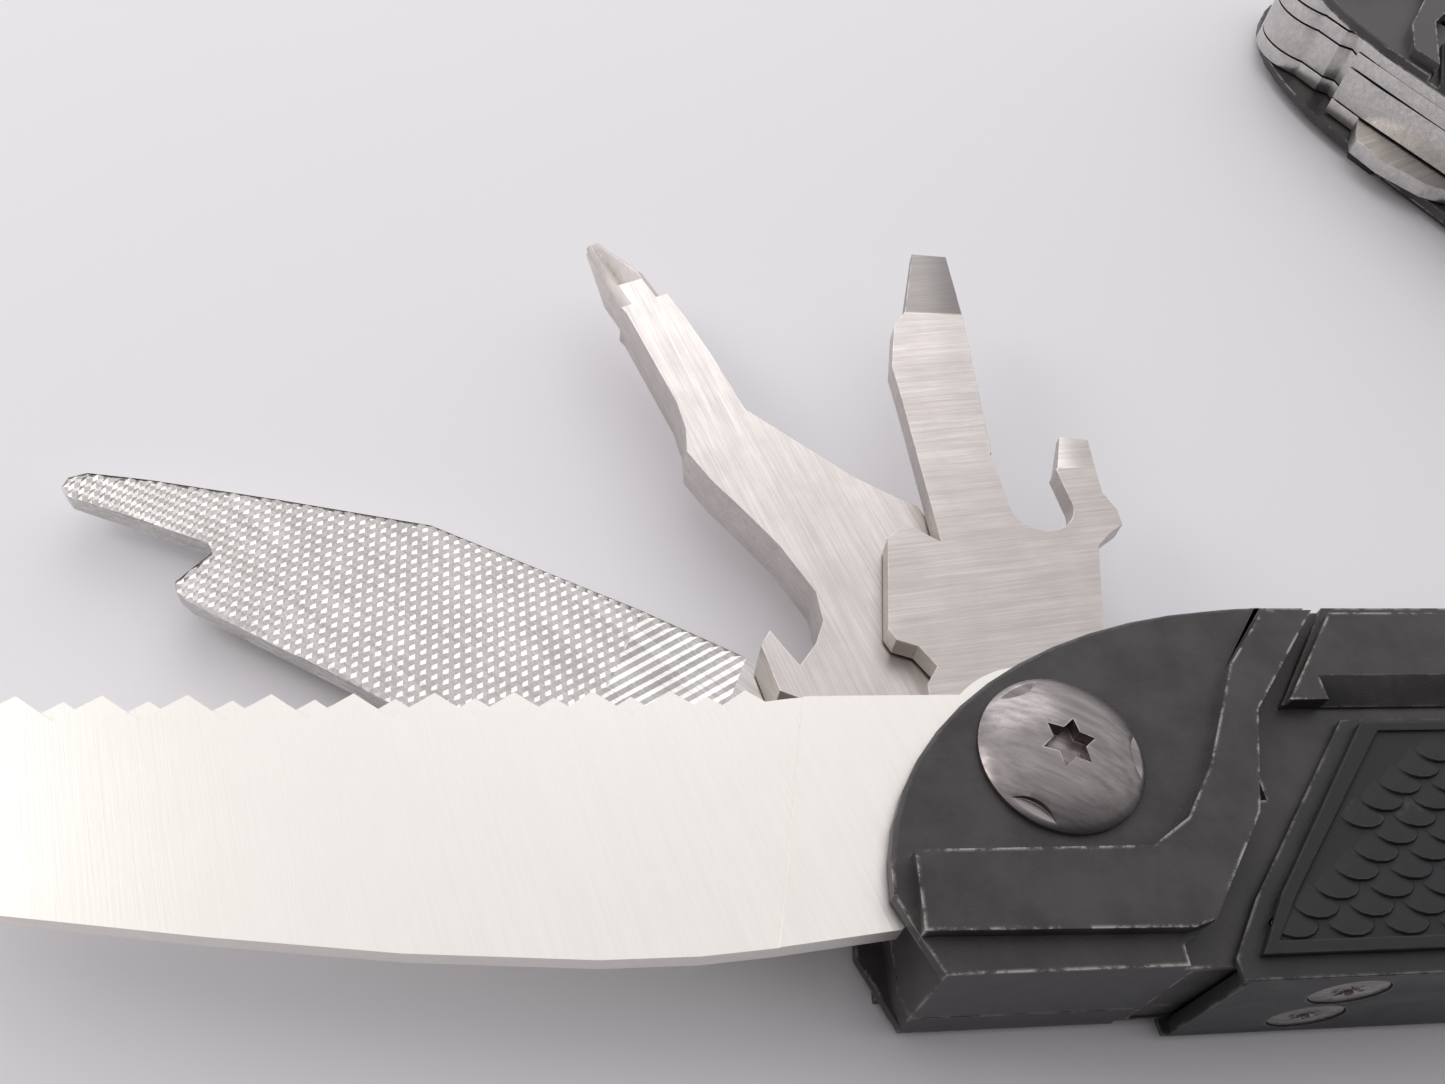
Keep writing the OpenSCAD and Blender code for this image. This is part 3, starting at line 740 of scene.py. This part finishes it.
bm = piece_mesh("file")
bevel_edges(bm, FILE_BEVEL * MM, 1)
to_file = own_frame("file")
to_row = to_file.inverted()
bmesh.ops.transform(bm, matrix=to_file, verts=bm.verts)
low_z, high_z = (c.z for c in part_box("file"))
for cut in CUTS:
    start = Vector((cut["from"] * MM, 0, 0))
    everything = list(bm.verts) + list(bm.edges) + list(bm.faces)
    bmesh.ops.bisect_plane(bm, geom=everything, plane_co=start, plane_no=Vector((1, 0, 0)))
    bm.normal_update()
    broad = [f for f in bm.faces if abs(f.normal.z) > 0.9 and f.calc_center_bounds().x > start.x]
    geometry = list({part for face in broad for part in (face, *face.edges, *face.verts)})
    normal = groove_normal(cut)
    reach = [(v.co / MM).dot(normal) for v in bm.verts if v.co.x >= start.x]
    half = cut["pitch"] / 2
    for k in range(math.floor(min(reach) / half), math.ceil(max(reach) / half) + 1):
        sliced = bmesh.ops.bisect_plane(bm, geom=geometry, plane_co=normal * (k * half * MM),
                                        plane_no=normal)
        geometry = sliced["geom"]
sunk = 0
for vertex in bm.verts:
    own = vertex.co / MM
    sink = max(valley_depth(own, cut) for cut in CUTS) * CUT_DEPTH * MM
    sunk += sink > 0 and abs(abs(vertex.co.z - (low_z + high_z) / 2) - (high_z - low_z) / 2) < 1e-6
    if abs(vertex.co.z - high_z) < 1e-6:
        vertex.co.z -= sink
    elif abs(vertex.co.z - low_z) < 1e-6:
        vertex.co.z += sink
bmesh.ops.transform(bm, matrix=to_row, verts=bm.verts)
file_piece = finish_piece(bm, "file", smooth=False)
print("file:", len(file_piece.data.polygons), "faces,", sunk, "points sunk")
if sunk < FEWEST_POINTS:
    raise ValueError("the file has no cuts")

# %% [markdown]
# ## The rubber grips
# The grip is moulded with rows of scales, like a fish's, so that a thumb can push the slider. Each scale
# is a small shield: it rises from its straight end and drops off suddenly at its round end. The scales
# stand on a slightly lower base and leave a plain border.

# %% Grips
SCALE_STEP = 3.3
ROW_STEP = 1.02
SCALE_HALF = 1.5
SCALE_RISE = 0.20
SCALE_ARC = 7
BASE_DROP = 0.20
GRIP_BEVEL = 0.16
POCKET_BORDER = 0.5
FIELD_BORDER = 1.15
GRID = 18


def grip_outline(inset):
    """The plan of the scaled area in the handle's own millimetres."""
    return [(20.0 + inset, 1.6 - inset), (10.8 + inset, -8.9), (8.9 + inset, -11.8 + inset),
            (59.2 - inset, -11.8 + inset), (59.2 - inset, 1.6 - inset)]


def inside(point, outline):
    """Whether a point lies in a convex outline."""
    side = 0
    for (ax, ay), (bx, by) in zip(outline, outline[1:] + outline[:1]):
        turn = (bx - ax) * (point[1] - ay) - (by - ay) * (point[0] - ax)
        if side == 0:
            side = math.copysign(1, turn)
        elif turn * side < 0:
            return False
    return True


def add_scale(bm, x, y, floor_z, face, to_row):
    """One scale: a shield whose round end stands proud."""
    rim = [(x + SCALE_HALF * math.cos(t), y - 1.0 * math.sin(t))
           for t in (math.pi * k / SCALE_ARC for k in range(SCALE_ARC + 1))]
    back_end = (x, y + 1.15)
    low = [bm.verts.new(to_row @ (Vector((px, py, floor_z)) * MM)) for px, py in rim]
    tail = bm.verts.new(to_row @ (Vector((back_end[0], back_end[1], floor_z)) * MM))
    high = []
    for k, (px, py) in enumerate(rim):
        lift = SCALE_RISE * math.sin(math.pi * k / SCALE_ARC) ** 0.6
        inner = Vector((x + (px - x) * 0.90, y + (py - y) * 0.90, floor_z + face * lift))
        high.append(bm.verts.new(to_row @ (inner * MM)))
    crown = bm.verts.new(to_row @ (Vector((x, y + 0.1, floor_z + face * SCALE_RISE * 0.72)) * MM))
    for k in range(SCALE_ARC):
        bm.faces.new((low[k], low[k + 1], high[k + 1], high[k]))
        bm.faces.new((high[k], high[k + 1], crown))
    bm.faces.new((low[0], high[0], tail))
    bm.faces.new((high[-1], low[-1], tail))
    bm.faces.new((high[0], crown, tail))
    bm.faces.new((crown, high[-1], tail))
    bm.faces.new([tail] + list(reversed(low)))


def grip(node, face):
    """A grip: the rubber pad with a lowered field, and scales on the field."""
    bm = piece_mesh(node)
    to_row = own_frame(node).inverted()
    low, high = (c.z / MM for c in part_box(node))
    top = high if face > 0 else low
    field_z = top - face * BASE_DROP
    pocket = bmesh.new()
    prism(pocket, grip_outline(POCKET_BORDER), min(field_z, top + face), max(field_z, top + face), to_row)
    bm = cut_away(bm, pocket)
    bmesh.ops.dissolve_limit(bm, angle_limit=FLAT, verts=bm.verts, edges=bm.edges)
    bevel_edges(bm, GRIP_BEVEL * MM, 2)
    field = grip_outline(FIELD_BORDER)
    count = 0
    for row in range(GRID):
        y = -11.3 + row * ROW_STEP
        for column in range(GRID):
            x = 9 + (column + 0.5 * (row % 2)) * SCALE_STEP
            if inside((x, y), field):
                add_scale(bm, x, y, field_z - face * 0.01, face, to_row)
                count += 1
    bmesh.ops.recalc_face_normals(bm, faces=bm.faces)
    finish_piece(bm, node)
    return count


for node in ("a_grip_upper", "b_grip_upper"):
    print(node, "scales:", grip(node, 1))
for node in ("a_grip_lower", "b_grip_lower"):
    print(node, "scales:", grip(node, -1))
